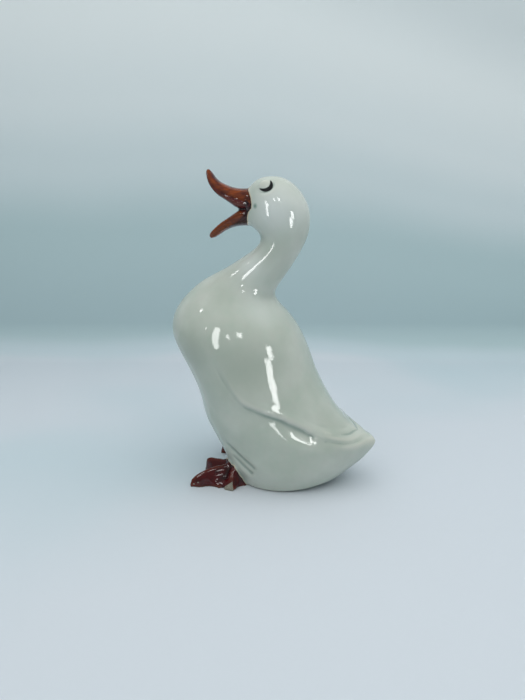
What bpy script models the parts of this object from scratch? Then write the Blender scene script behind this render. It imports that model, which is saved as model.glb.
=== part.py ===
"""A standing duck with its beak wide open, slip-cast in one piece of earthenware and glazed.

The duck faces -Y, its left and right halves mirror each other in X, and it stands on z = 0.
It is hollow, as slip casting leaves it, with a small vent through the flat base.
Sizes are in metres.
"""

import math

import bmesh
import bpy
import numpy as np
from mathutils import Matrix, Vector
from mathutils.bvhtree import BVHTree

NAME = "duck_figurine"

# Flat base that the body rests on
BASE_FRONT = 0.024
BASE_BACK = 0.036
BASE_HALF_WIDTH = 0.033

# Tail tip, reached backwards and upwards from the base
TAIL_REACH = 0.0835
TAIL_HEIGHT = 0.0360
TAIL_HALF_WIDTH = 0.047

# Belly and back at the height of the folded wings
BELLY_REACH = 0.0572
BELLY_HEIGHT = 0.067
BELLY_HALF_WIDTH = 0.0485
BACK_REACH = 0.0526

# Breast, the part that swells furthest forward
BREAST_REACH = 0.0803
BREAST_HEIGHT = 0.117
BREAST_HALF_WIDTH = 0.044
SHOULDER_REACH = 0.0203

# Neck at its narrowest, under the throat
THROAT_REACH = 0.0082
THROAT_HEIGHT = 0.188
NECK_BACK = 0.0233
NECK_HALF_WIDTH = 0.0155

# Head, measured from its middle
HEAD_Y = 0.0035
HEAD_HEIGHT = 0.209
HEAD_FRONT = 0.0230
HEAD_BACK = 0.0230
HEAD_HALF_WIDTH = 0.0193
CROWN_RISE = 0.021

# Beak: each half's length past the face, and its half width at the face
UPPER_REACH = 0.0335
UPPER_HALF_WIDTH = 0.0132
LOWER_REACH = 0.0320
LOWER_HALF_WIDTH = 0.0110

# Closed eye: its place on the side of the head, the lid and the painted crescent below it
EYE_BEHIND_FACE = 0.0176
EYE_ABOVE_HEAD = 0.0150
LID_RADIUS = 0.0046
LID_RISE = 0.0008
LASH_RADIUS = 0.0049
LASH_WIDTH = 0.0019
LASH_DEPTH = 0.0006

# Folded wing: how far its rim stands off the body, and the shorter tier over it
WING_RISE = 0.0028
WING_FADE = 0.042
TIER_RISE = 0.0040
TIER_FADE = 0.020
RIM_WIDTH = 0.0026
RIM_DEPTH = 0.0010

# Two creases along each thigh
CREASE_WIDTH = 0.0030
CREASE_DEPTH = 0.0011

# Feet: the ankle's place, the toes and the web between them
ANKLE_X = 0.0270
ANKLE_AHEAD = 0.0190
ANKLE_RADIUS = 0.0110
ANKLE_TOP_RADIUS = 0.0033
ANKLE_HEIGHT = 0.0260
TOE_LENGTH = 0.0382
OUTER_TOE_LENGTH = 0.0212
INNER_TOE_LENGTH = 0.0336
TOE_HALF_WIDTH = 0.0046
TOE_HEIGHT = 0.0160
FOOT_HEADING = math.radians(31)
OUTER_SPREAD = math.radians(52)
INNER_SPREAD = math.radians(48)
WEB_HEIGHT = 0.0050

# What is broken off the left outer toe
CHIP_LENGTH = 0.0028
CHIP_TILT = math.radians(22)

# Cast wall, also as measured along the sloping sections of the back, and the vent in the base
WALL = 0.0045
WALL_BEHIND = 0.0061
CAVITY_TAIL_GAP = 0.016
VENT_RADIUS = 0.006
VENT_Y = -0.0085

# The base and the soles are made a little deep, then trimmed flat together
TRIM = 0.0010

# How far a raised shape's fading edge dips under the skin
DIP = 0.0005

# How finely the surfaces are divided
AROUND = 36
RINGS = 66
HOLLOW_AROUND = 16
HOLLOW_RINGS = 26
BEAK_AROUND = 16
BEAK_RINGS = 13
TOE_AROUND = 10
TOE_RINGS = 7

WHITE = ("ivory_glaze", (0.80, 0.81, 0.77, 1.0), 0.08)
BROWN = ("brown_glaze", (0.28, 0.075, 0.035, 1.0), 0.10)
CLAY = ("bare_clay", (0.72, 0.70, 0.62, 1.0), 0.85)
BLACK = ("black_glaze", (0.01, 0.01, 0.015, 1.0), 0.15)


def material(recipe):
    """The Principled material of a glaze or of the bare clay, made once and then shared."""
    name, colour, roughness = recipe
    found = bpy.data.materials.get(name)
    if found:
        return found
    made = bpy.data.materials.new(name)
    made.use_nodes = True
    shader = made.node_tree.nodes["Principled BSDF"]
    shader.inputs["Base Color"].default_value = colour
    shader.inputs["Roughness"].default_value = roughness
    shader.inputs["Metallic"].default_value = 0.0
    return made


def smooth_curve(knots, values, at):
    """Values of the natural cubic spline through values at knots, read at the places in at."""
    knots = np.asarray(knots, float)
    values = np.asarray(values, float)
    gaps = np.diff(knots)
    count = len(knots)
    system = np.eye(count)
    pull = np.zeros_like(values)
    for i in range(1, count - 1):
        system[i, i - 1] = gaps[i - 1]
        system[i, i] = 2 * (gaps[i - 1] + gaps[i])
        system[i, i + 1] = gaps[i]
        rise = (values[i + 1] - values[i]) / gaps[i]
        run = (values[i] - values[i - 1]) / gaps[i - 1]
        pull[i] = 6 * (rise - run)
    bend = np.linalg.solve(system, pull)
    cell = np.clip(np.searchsorted(knots, at, side="right") - 1, 0, count - 2)
    span = gaps[cell][:, None]
    right = ((at - knots[cell]) / gaps[cell])[:, None]
    left = 1 - right
    straight = left * values[cell] + right * values[cell + 1]
    bowed = (left**3 - left) * bend[cell] + (right**3 - right) * bend[cell + 1]
    return straight + bowed * span**2 / 6


def new_object(name, mesh, recipe, collection):
    """An object of that mesh in that glaze or clay, put in the collection."""
    made = bpy.data.objects.new(name, mesh)
    mesh.materials.append(material(recipe))
    collection.objects.link(made)
    return made


def loft(name, rings, recipe, collection, start_point=None, end_point=None):
    """A closed skin over rings of equal count; an end is a pole at its point, or else a flat face."""
    bm = bmesh.new()
    rows = [[bm.verts.new(point) for point in ring] for ring in rings]
    count = len(rows[0])
    for low, high in zip(rows, rows[1:]):
        for i in range(count):
            j = (i + 1) % count
            bm.faces.new((low[i], low[j], high[j], high[i]))
    for row, pole, flip in ((rows[0], start_point, True), (rows[-1], end_point, False)):
        if pole is None:
            bm.faces.new(row[::-1] if flip else row)
            continue
        tip = bm.verts.new(pole)
        for i in range(count):
            j = (i + 1) % count
            bm.faces.new((row[j], row[i], tip) if flip else (row[i], row[j], tip))
    bmesh.ops.recalc_face_normals(bm, faces=bm.faces)
    quads = [face for face in bm.faces if len(face.verts) == 4]
    bmesh.ops.triangulate(bm, faces=quads, quad_method="SHORT_EDGE")
    mesh = bpy.data.meshes.new(name)
    bm.to_mesh(mesh)
    bm.free()
    mesh.shade_smooth()
    return new_object(name, mesh, recipe, collection)


def body_sections():
    """Sections from the base to the crown.

    Each is front y, front z, back y, back z, half width, where along it the width is greatest
    (0 at the front, 1 at the back), and how fast it tapers ahead of that and behind it
    (1 is a plain ellipse, less is squarer, more is sharper).
    """
    base_y, heel_y, base_x = -BASE_FRONT, BASE_BACK, BASE_HALF_WIDTH
    tail_y, tail_z, tail_x = TAIL_REACH, TAIL_HEIGHT, TAIL_HALF_WIDTH
    belly_y, belly_z, belly_x = -BELLY_REACH, BELLY_HEIGHT, BELLY_HALF_WIDTH
    breast_y, breast_z, breast_x = -BREAST_REACH, BREAST_HEIGHT, BREAST_HALF_WIDTH
    throat_y, throat_z, neck_x = -THROAT_REACH, THROAT_HEIGHT, NECK_HALF_WIDTH
    back_y, shoulder_y, neck_y = BACK_REACH, SHOULDER_REACH, NECK_BACK
    head_z, head_x, crown_z = HEAD_HEIGHT, HEAD_HALF_WIDTH, HEAD_HEIGHT + CROWN_RISE
    face_y, nape_y, peak_y = HEAD_Y - HEAD_FRONT, HEAD_Y + HEAD_BACK, HEAD_Y - 0.0040
    chest = breast_z - belly_z
    neck = throat_z - breast_z
    slab = (0.50, 0.80, 1.0)
    oval = (0.50, 1.0, 1.0)
    return [
        # Base
        (base_y, -TRIM, heel_y, -TRIM, base_x, *slab),
        (base_y - 0.0030, 0.0010, heel_y + 0.0080, 0.0008, base_x + 0.0040, *slab),
        # Underside and tail
        (-0.0285, 0.0050, tail_y - 0.0285, tail_z - 0.0320, tail_x - 0.0085, 0.46, 0.80, 1.10),
        (-0.0330, 0.0125, tail_y - 0.0180, tail_z - 0.0235, tail_x - 0.0050, 0.42, 0.85, 1.25),
        (-0.0380, 0.0225, tail_y - 0.0090, tail_z - 0.0150, tail_x - 0.0025, 0.40, 0.90, 1.45),
        (-0.0430, 0.0315, tail_y - 0.0025, tail_z - 0.0060, tail_x - 0.0010, 0.38, 0.95, 1.60),
        (-0.0480, 0.0395, tail_y, tail_z, tail_x, 0.38, 1.0, 1.65),
        (-0.0520, 0.0470, tail_y - 0.0060, tail_z + 0.0040, tail_x + 0.0010, 0.40, 1.0, 1.60),
        (-0.0548, 0.0560, tail_y - 0.0190, tail_z + 0.0092, tail_x + 0.0015, 0.43, 1.0, 1.45),
        # Belly and back
        (belly_y, belly_z, back_y, belly_z - 0.25 * chest, belly_x, 0.46, 1.0, 1.25),
        (belly_y - 0.0050, belly_z + 0.27 * chest, back_y - 0.0104, belly_z + 0.05 * chest,
         belly_x, 0.48, 1.0, 1.10),
        # Breast and shoulders
        (breast_y + 0.0105, breast_z - 0.47 * chest, shoulder_y + 0.0139, breast_z - 0.62 * chest,
         breast_x + 0.0035, *oval),
        (breast_y + 0.0033, breast_z - 0.22 * chest, shoulder_y + 0.0074, breast_z - 0.30 * chest,
         breast_x + 0.0025, *oval),
        (breast_y, breast_z, shoulder_y, breast_z, breast_x, *oval),
        (breast_y + 0.0023, breast_z + 0.183 * neck, shoulder_y - 0.0079, breast_z + 0.172 * neck,
         breast_x - 0.0060, *oval),
        (breast_y + 0.0113, breast_z + 0.359 * neck, shoulder_y - 0.0153, breast_z + 0.286 * neck,
         breast_x - 0.0140, *oval),
        # Neck
        (throat_y - 0.0471, throat_z - 0.479 * neck, neck_y - 0.0219, throat_z - 0.615 * neck,
         neck_x + 0.0070, 0.54, 1.0, 1.0),
        (throat_y - 0.0293, throat_z - 0.348 * neck, neck_y - 0.0188, throat_z - 0.515 * neck,
         neck_x + 0.0025, 0.54, 1.0, 1.0),
        (throat_y - 0.0144, throat_z - 0.221 * neck, neck_y - 0.0133, throat_z - 0.404 * neck,
         neck_x + 0.0005, 0.52, 1.0, 1.0),
        (throat_y - 0.0031, throat_z - 0.106 * neck, neck_y - 0.0059, throat_z - 0.249 * neck,
         neck_x - 0.0005, *oval),
        (throat_y, throat_z, neck_y, throat_z - 0.101 * neck, neck_x, *oval),
        # Head
        (face_y + 0.0055, head_z - 0.0157, nape_y + 0.0007, head_z - 0.0180, head_x - 0.0023, *oval),
        (face_y + 0.0005, head_z - 0.0100, nape_y + 0.0014, head_z - 0.0092, head_x - 0.0006, *oval),
        (face_y, head_z, nape_y, head_z - 0.0006, head_x, *oval),
        (face_y + 0.0005, head_z + 0.0090, nape_y - 0.0045, head_z + 0.0082, head_x - 0.0020, *oval),
        (face_y + 0.0050, crown_z - 0.0045, nape_y - 0.0117, crown_z - 0.0052, head_x - 0.0065, *oval),
        (face_y + 0.0120, crown_z - 0.0008, nape_y - 0.0193, crown_z - 0.0011, head_x - 0.0127, *oval),
        (peak_y, crown_z, peak_y, crown_z, 0.0, *oval),
    ]


def section_ring(section, around):
    """Points round one section, starting at its front and going round the duck's left side."""
    front_y, front_z, back_y, back_z, half_width, widest, taper_ahead, taper_behind = section
    ring = []
    for i in range(around):
        turn = 2 * math.pi * i / around
        ahead = math.cos(turn) > 0
        along = widest * (1 - math.cos(turn)) if ahead else widest - (1 - widest) * math.cos(turn)
        out = abs(math.sin(turn)) ** (taper_ahead if ahead else taper_behind)
        x = half_width * math.copysign(out, math.sin(turn))
        y = front_y + along * (back_y - front_y)
        z = front_z + along * (back_z - front_z)
        ring.append(Vector((x, y, z)))
    return ring


def spaced_rows(sections, count):
    """Rows read at even steps along the smooth skin that runs through the sections."""
    table = np.array(sections)
    lower = np.linalg.norm(np.diff(table[:, 0:2], axis=0), axis=1)
    upper = np.linalg.norm(np.diff(table[:, 2:4], axis=0), axis=1)
    knots = np.concatenate([[0.0], np.cumsum((lower + upper) / 2)])
    rows = smooth_curve(knots, table, np.linspace(0.0, knots[-1], count))
    rows[:, 4] = np.maximum(rows[:, 4], 0.0)
    return rows


def body_skin(name, recipe, collection):
    """The body, neck and head as one closed skin."""
    rows = spaced_rows(body_sections(), RINGS)
    crown = Vector((0.0, rows[-1][0], rows[-1][1]))
    rings = [section_ring(row, AROUND) for row in rows[:-1]]
    return loft(name, rings, recipe, collection, end_point=crown)


def puff(skin, thickness):
    """Move each point of a skin outwards by thickness(point, normal)."""
    bm = bmesh.new()
    bm.from_mesh(skin.data)
    bm.normal_update()
    moves = [vert.normal * thickness(vert.co, vert.normal) for vert in bm.verts]
    for vert, move in zip(bm.verts, moves):
        vert.co += move
    bm.to_mesh(skin.data)
    bm.free()


def combine(target, tool, operation):
    """Join a tool to the target, cut it away, or keep what they share."""
    modifier = target.modifiers.new(tool.name, "BOOLEAN")
    modifier.operation = operation
    modifier.solver = "EXACT"
    modifier.material_mode = "TRANSFER"
    modifier.object = tool
    tool.hide_render = True
    tool.display_type = "WIRE"


def side_prism(name, outline, recipe, collection):
    """A prism through the whole width of the duck, with that outline in the YZ plane."""
    span = 2 * BELLY_HALF_WIDTH
    rings = [[Vector((x, y, z)) for y, z in outline] for x in (-span, span)]
    return loft(name, rings, recipe, collection)


def smooth_line(points, count):
    """That many points at even steps on a smooth line through the points."""
    table = np.array(points)
    steps = np.linalg.norm(np.diff(table, axis=0), axis=1)
    knots = np.concatenate([[0.0], np.cumsum(steps)])
    return smooth_curve(knots, table, np.linspace(0.0, knots[-1], count))


def ribbon(line, widths):
    """Closed outline of a band of changing width along a line."""
    along = np.gradient(line, axis=0)
    along /= np.linalg.norm(along, axis=1)[:, None]
    across = np.stack([-along[:, 1], along[:, 0]], axis=1) * np.asarray(widths)[:, None] / 2
    return np.concatenate([line + across, (line - across)[::-1]])


def smooth_step(value):
    """0 below 0, 1 above 1, and a soft rise between."""
    held = min(max(value, 0.0), 1.0)
    return held * held * (3 - 2 * held)


def wing_edges():
    """Lower edges of the folded wing and of the short tier over it, from the shoulder to the tail."""
    wing = [
        (-0.0360, BELLY_HEIGHT + 0.0412),
        (-0.0291, BELLY_HEIGHT + 0.0300),
        (-0.0223, BELLY_HEIGHT + 0.0198),
        (-0.0099, BELLY_HEIGHT + 0.0055),
        (0.0044, BELLY_HEIGHT - 0.0009),
        (0.0180, BELLY_HEIGHT - 0.0063),
        (TAIL_REACH - 0.0530, TAIL_HEIGHT + 0.0176),
        (TAIL_REACH - 0.0413, TAIL_HEIGHT + 0.0109),
        (TAIL_REACH - 0.0282, TAIL_HEIGHT + 0.0051),
        (TAIL_REACH - 0.0158, TAIL_HEIGHT + 0.0029),
        (TAIL_REACH - 0.0061, TAIL_HEIGHT + 0.0037),
    ]
    tier = [
        (TAIL_REACH - 0.0530, TAIL_HEIGHT + 0.0210),
        (TAIL_REACH - 0.0459, TAIL_HEIGHT + 0.0157),
        (TAIL_REACH - 0.0333, TAIL_HEIGHT + 0.0095),
        (TAIL_REACH - 0.0211, TAIL_HEIGHT + 0.0074),
        (TAIL_REACH - 0.0145, TAIL_HEIGHT + 0.0095),
    ]
    return smooth_line(wing, 33), smooth_line(tier, 17)


def feather_layer(name, edge, rise, fade, onset, ending, collection):
    """A layer of the wing: thickest at its lower edge, fading up the back and into the shoulder.

    Onset and ending are the shares of the edge over which it rises out of the body and sinks
    back into it.
    """
    def thickness(point, normal):
        away = np.linalg.norm(edge - (point.y, point.z), axis=1)
        nearest = int(np.argmin(away))
        share = nearest / (len(edge) - 1)
        along = smooth_step(share / onset) * smooth_step((1 - share) / ending)
        across = 1 - smooth_step(away[nearest] / fade)
        return rise * along * across - DIP

    layer = body_skin(name, WHITE, collection)
    puff(layer, thickness)
    above = BREAST_HEIGHT + 0.030
    beyond = TAIL_REACH + 0.020
    outline = [*edge, (beyond, edge[-1][1] + 0.004), (beyond, above), (edge[0][0], above)]
    combine(layer, side_prism(name + "_outline", outline, WHITE, collection), "INTERSECT")
    return layer


def engraving(name, outline, depth, recipe, collection):
    """A cutter that sinks an outline evenly into the skin, on both sides of the duck."""
    cutter = side_prism(name, outline, recipe, collection)
    floor = body_skin(name + "_floor", recipe, collection)
    puff(floor, lambda point, normal: -depth)
    combine(cutter, floor, "DIFFERENCE")
    return cutter


def rim_crease(edge, collection):
    """The crease that undercuts the wing's rim, deepest along the flank."""
    line = edge[6:-3] + np.array([0.0, -RIM_WIDTH / 2])
    steps = len(line) - 1
    widths = [RIM_WIDTH * (0.35 + 0.65 * math.sin(math.pi * i / steps)) for i in range(steps + 1)]
    return engraving("rim_crease", ribbon(line, widths), RIM_DEPTH, WHITE, collection)


def thigh_creases(collection):
    """Two soft creases that run down each thigh to the base."""
    y, z = -ANKLE_AHEAD, ANKLE_HEIGHT
    long_line = [
        (y - 0.0043, z + 0.0092),
        (y + 0.0063, z + 0.0022),
        (y + 0.0160, z - 0.0055),
        (y + 0.0216, z - 0.0173),
        (y + 0.0230, z - 0.0215),
    ]
    short_line = [
        (y - 0.0025, z + 0.0058),
        (y + 0.0045, z - 0.0012),
        (y + 0.0109, z - 0.0069),
        (y + 0.0150, z - 0.0110),
    ]
    creases = []
    for name, points in (("long_crease", long_line), ("short_crease", short_line)):
        line = smooth_line(points, 11)
        widths = [CREASE_WIDTH * math.sin(math.pi * (0.12 + 0.76 * i / 10)) for i in range(11)]
        creases.append(engraving(name, ribbon(line, widths), CREASE_DEPTH, WHITE, collection))
    return creases


def eye_place():
    """Middle of the eye in the YZ plane."""
    return HEAD_Y - HEAD_FRONT + EYE_BEHIND_FACE, HEAD_HEIGHT + EYE_ABOVE_HEAD


def eye_lids(skin, collection):
    """The bulging lids of the closed eyes, one on each side of the head."""
    tree = bvh_of(skin)
    y, z = eye_place()
    lids = []
    for side in (1, -1):
        outside = Vector((side * BELLY_HALF_WIDTH, y, z))
        seat, normal, _, _ = tree.ray_cast(outside, Vector((-side, 0, 0)))
        bm = bmesh.new()
        bmesh.ops.create_uvsphere(bm, u_segments=14, v_segments=8, radius=LID_RADIUS)
        flatten = Matrix.Diagonal((1.0, 1.0, 2 * LID_RISE / LID_RADIUS, 1.0))
        turn = normal.to_track_quat("Z", "Y").to_matrix().to_4x4()
        place = Matrix.Translation(seat - normal * LID_RISE)
        bmesh.ops.transform(bm, matrix=place @ turn @ flatten, verts=bm.verts)
        mesh = bpy.data.meshes.new("eye_lid")
        bm.to_mesh(mesh)
        bm.free()
        lids.append(new_object("left_lid" if side > 0 else "right_lid", mesh, WHITE, collection))
    return lids


def lash(collection):
    """The black crescent that hugs the lower rear of each lid, engraved and painted."""
    y, z = eye_place()
    start, end = math.radians(215), math.radians(385)
    turns = np.linspace(start, end, 15)
    line = np.stack([y + LASH_RADIUS * np.cos(turns), z + LASH_RADIUS * np.sin(turns)], axis=1)
    widths = [LASH_WIDTH * (0.3 + 0.7 * math.sin(math.pi * i / 14) ** 0.8) for i in range(15)]
    return engraving("lash", ribbon(line, widths), LASH_DEPTH, BLACK, collection)


def bvh_of(thing):
    """A search tree of an object's own mesh."""
    bm = bmesh.new()
    bm.from_mesh(thing.data)
    tree = BVHTree.FromBMesh(bm)
    bm.free()
    return tree


def beak_half(name, sections, tip, collection):
    """Half of the beak as a skin through sections from its root in the head to its tip."""
    rows = spaced_rows(sections, BEAK_RINGS)
    rings = [section_ring(row, BEAK_AROUND) for row in rows]
    return loft(name, rings, BROWN, collection, end_point=Vector((0.0, *tip)))


def upper_beak(collection):
    """Upper half, curling up to its tip; sections run from underside to ridge."""
    face_y = HEAD_Y - HEAD_FRONT
    tip_y = face_y - UPPER_REACH
    head_z, wide = HEAD_HEIGHT, UPPER_HALF_WIDTH
    sections = [
        (face_y + 0.0110, head_z - 0.0010, face_y + 0.0140, head_z + 0.0115, wide - 0.0010, 0.30, 0.7, 0.9),
        (face_y + 0.0005, head_z - 0.0025, face_y + 0.0060, head_z + 0.0132, wide, 0.30, 0.7, 0.9),
        (face_y - 0.0065, head_z - 0.0014, face_y + 0.0000, head_z + 0.0130, wide - 0.0014, 0.30, 0.7, 0.9),
        (tip_y + 0.0198, head_z + 0.0033, tip_y + 0.0265, head_z + 0.0131, wide - 0.0026, 0.30, 0.7, 0.9),
        (tip_y + 0.0126, head_z + 0.0074, tip_y + 0.0200, head_z + 0.0147, wide - 0.0038, 0.30, 0.7, 0.9),
        (tip_y + 0.0080, head_z + 0.0116, tip_y + 0.0142, head_z + 0.0170, wide - 0.0050, 0.30, 0.7, 0.9),
        (tip_y + 0.0044, head_z + 0.0166, tip_y + 0.0090, head_z + 0.0207, wide - 0.0068, 0.30, 0.7, 0.9),
        (tip_y + 0.0026, head_z + 0.0205, tip_y + 0.0058, head_z + 0.0250, wide - 0.0088, 0.30, 0.8, 0.9),
        (tip_y + 0.0014, head_z + 0.0242, tip_y + 0.0034, head_z + 0.0276, wide - 0.0108, 0.40, 1.0, 1.0),
    ]
    return beak_half("upper_beak", sections, (tip_y + 0.0017, head_z + 0.0270), collection)


def lower_beak(collection):
    """Lower half, drooping to its tip; sections run from keel to upper face."""
    face_y = HEAD_Y - HEAD_FRONT
    tip_y = face_y - LOWER_REACH
    head_z, wide = HEAD_HEIGHT, LOWER_HALF_WIDTH
    sections = [
        (face_y + 0.0110, head_z - 0.0130, face_y + 0.0110, head_z - 0.0020, wide, 0.60, 0.9, 0.7),
        (face_y + 0.0040, head_z - 0.0140, face_y + 0.0025, head_z - 0.0010, wide, 0.60, 0.9, 0.7),
        (face_y - 0.0030, head_z - 0.0139, face_y - 0.0055, head_z - 0.0026, wide - 0.0014, 0.60, 0.9, 0.7),
        (face_y - 0.0095, head_z - 0.0147, face_y - 0.0121, head_z - 0.0068, wide - 0.0026, 0.60, 0.9, 0.7),
        (tip_y + 0.0160, head_z - 0.0168, tip_y + 0.0129, head_z - 0.0108, wide - 0.0038, 0.60, 0.9, 0.7),
        (tip_y + 0.0105, head_z - 0.0199, tip_y + 0.0079, head_z - 0.0146, wide - 0.0050, 0.60, 0.9, 0.7),
        (tip_y + 0.0059, head_z - 0.0228, tip_y + 0.0037, head_z - 0.0180, wide - 0.0066, 0.60, 0.9, 0.8),
        (tip_y + 0.0027, head_z - 0.0241, tip_y + 0.0009, head_z - 0.0212, wide - 0.0086, 0.55, 1.0, 1.0),
    ]
    return beak_half("lower_beak", sections, (tip_y + 0.0009, head_z - 0.0234), collection)


def toe(name, length, heading, side, end_share, under, collection):
    """A ridged toe from the ankle, down to the depth under the floor that is trimmed off later.

    Heading is measured outwards from straight ahead; end_share is how much of its height it keeps
    to its blunt end. Stations are the share of its length, its width beside the plain toe's, and
    its height.
    """
    ridge = 1.8
    stations = [
        (0.00, 1.30, ANKLE_HEIGHT * 0.90),
        (0.30, 1.20, ANKLE_HEIGHT * 0.68),
        (0.60, 1.05, TOE_HEIGHT),
        (0.85, 0.95, TOE_HEIGHT * (0.50 + 0.45 * end_share)),
        (0.96, 0.72, TOE_HEIGHT * (0.30 + 0.60 * end_share)),
        (1.00, 0.35, TOE_HEIGHT * (0.15 + 0.60 * end_share)),
    ]
    ahead = Vector((side * math.sin(heading), -math.cos(heading), 0.0))
    across = Vector((ahead.y, -ahead.x, 0.0))
    ankle = Vector((side * ANKLE_X, -ANKLE_AHEAD, 0.0))
    table = np.array(stations)
    rings = []
    for share, width, height in smooth_curve(table[:, 0], table, np.linspace(0.0, 1.0, TOE_RINGS)):
        ring = []
        for k in range(TOE_AROUND):
            turn = 2 * math.pi * k / TOE_AROUND
            out = TOE_HALF_WIDTH * width * math.cos(turn)
            upper = math.sin(turn) > 1e-6
            up = height * (1 - abs(math.cos(turn)) ** ridge) if upper else -under
            ring.append(ankle + ahead * (share * length) + across * out + Vector((0.0, 0.0, up)))
        rings.append(ring)
    return loft(name, rings, BROWN, collection)


def ankle_and_web(prefix, side, collection):
    """The ankle, a blunt cone against the belly, and the webbed skin that spans the toes.

    The web's edge is given as headings from straight ahead, each with how far it reaches: out to
    most of each toe's length, and scalloped between the toes.
    """
    ankle = Vector((side * ANKLE_X, -ANKLE_AHEAD, 0.0))
    bm = bmesh.new()
    depth = ANKLE_HEIGHT + 2 * TRIM
    bmesh.ops.create_cone(
        bm, cap_ends=True, segments=18, radius1=ANKLE_RADIUS, radius2=ANKLE_TOP_RADIUS, depth=depth,
    )
    bmesh.ops.translate(bm, vec=ankle + Vector((0.0, 0.0, ANKLE_HEIGHT / 2 - TRIM)), verts=bm.verts)
    mesh = bpy.data.meshes.new(prefix + "_ankle")
    bm.to_mesh(mesh)
    bm.free()
    cone = new_object(prefix + "_ankle", mesh, BROWN, collection)

    outer, middle, inner = FOOT_HEADING + OUTER_SPREAD, FOOT_HEADING, FOOT_HEADING - INNER_SPREAD
    heel_turn = math.radians(52)
    reach = [
        (outer + heel_turn, ANKLE_RADIUS * 0.80),
        (outer, OUTER_TOE_LENGTH * 0.60),
        (outer * 0.55 + middle * 0.45, (OUTER_TOE_LENGTH + TOE_LENGTH) * 0.33),
        (middle, TOE_LENGTH * 0.80),
        ((middle + inner) / 2, (TOE_LENGTH + INNER_TOE_LENGTH) * 0.34),
        (inner, INNER_TOE_LENGTH * 0.85),
        (inner - heel_turn, ANKLE_RADIUS * 0.80),
    ]
    rings = []
    for up, share in ((-1.5 * TRIM, 1.0), (WEB_HEIGHT, 0.93)):
        ring = [ankle + Vector((0.0, ANKLE_RADIUS / 2, up))]
        for heading, far in reach:
            out = Vector((side * math.sin(heading), -math.cos(heading), 0.0))
            ring.append(ankle + out * (far * share) + Vector((0.0, 0.0, up)))
        rings.append(ring)
    web = loft(prefix + "_web", rings, BROWN, collection)
    return cone, web


def block(name, size, place, recipe, collection):
    """A box of that size, placed by a matrix."""
    bm = bmesh.new()
    bmesh.ops.create_cube(bm, size=1.0, matrix=place @ Matrix.Diagonal((*size, 1.0)))
    mesh = bpy.data.meshes.new(name)
    bm.to_mesh(mesh)
    bm.free()
    return new_object(name, mesh, recipe, collection)


def chip(collection):
    """The fracture that took the end of the left outer toe and bared its clay."""
    heading = FOOT_HEADING + OUTER_SPREAD
    reach = TOE_LENGTH / 2
    ahead = Vector((math.sin(heading), -math.cos(heading), 0.0))
    root = Vector((ANKLE_X, -ANKLE_AHEAD, 0.0))
    face = Matrix.Translation(root + ahead * (OUTER_TOE_LENGTH - CHIP_LENGTH))
    turn = Matrix.Rotation(heading - math.pi / 2, 4, "Z") @ Matrix.Rotation(-CHIP_TILT, 4, "Y")
    lost = Matrix.Translation(Vector((reach / 2, 0.0, 0.0)))
    return block("chip", (reach, reach, 2 * reach), face @ turn @ lost, CLAY, collection)


def foot(prefix, side, broken, collection):
    """One webbed foot, its ankle, web and three toes joined; a broken one has lost a toe's end."""
    ankle, web = ankle_and_web(prefix, side, collection)
    outer, inner = FOOT_HEADING + OUTER_SPREAD, FOOT_HEADING - INNER_SPREAD
    outer_toe = toe(prefix + "_outer_toe", OUTER_TOE_LENGTH, outer, side, 0.3, 2.5 * TRIM, collection)
    middle_toe = toe(prefix + "_middle_toe", TOE_LENGTH, FOOT_HEADING, side, 0.5, 3.0 * TRIM, collection)
    inner_toe = toe(prefix + "_inner_toe", INNER_TOE_LENGTH, inner, side, 1.0, 3.5 * TRIM, collection)
    if broken:
        combine(outer_toe, chip(collection), "DIFFERENCE")
    for piece in (ankle, outer_toe, middle_toe, inner_toe):
        combine(web, piece, "UNION")
    return web


def hollow(collection):
    """The space that slip casting leaves: the skin moved in by the wall, short of the tail's tip."""
    rows = spaced_rows(body_sections(), HOLLOW_RINGS)
    tail_limit = TAIL_REACH - CAVITY_TAIL_GAP
    rings = []
    for row in rows:
        front, back = row[0:2], row[2:4]
        span = back - front
        length = np.linalg.norm(span)
        if min(front[1], back[1]) < WALL or row[4] < 2 * WALL or length < 4 * WALL:
            continue
        inward = span / length
        front = front + inward * WALL
        back = back - inward * WALL_BEHIND
        if back[0] > tail_limit:
            back = front + (back - front) * (tail_limit - front[0]) / (back[0] - front[0])
        inner = [*front, *back, row[4] - WALL, row[5], *np.maximum(row[6:8], 1.0)]
        rings.append(section_ring(inner, HOLLOW_AROUND))
    return loft("hollow", rings, WHITE, collection)


def vent(collection):
    """The hole in the base that lets the air out of the hollow in the kiln."""
    bm = bmesh.new()
    bmesh.ops.create_cone(
        bm, cap_ends=True, segments=24, radius1=VENT_RADIUS, radius2=VENT_RADIUS, depth=6 * WALL,
    )
    bmesh.ops.translate(bm, vec=Vector((0.0, VENT_Y, 0.0)), verts=bm.verts)
    mesh = bpy.data.meshes.new("vent")
    bm.to_mesh(mesh)
    bm.free()
    return new_object("vent", mesh, CLAY, collection)


def ground(collection):
    """What the flat base and soles are trimmed by."""
    size = 4 * TAIL_REACH
    place = Matrix.Translation(Vector((0.0, 0.0, -size / 2)))
    return block("ground", (size, size, size), place, CLAY, collection)


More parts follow.
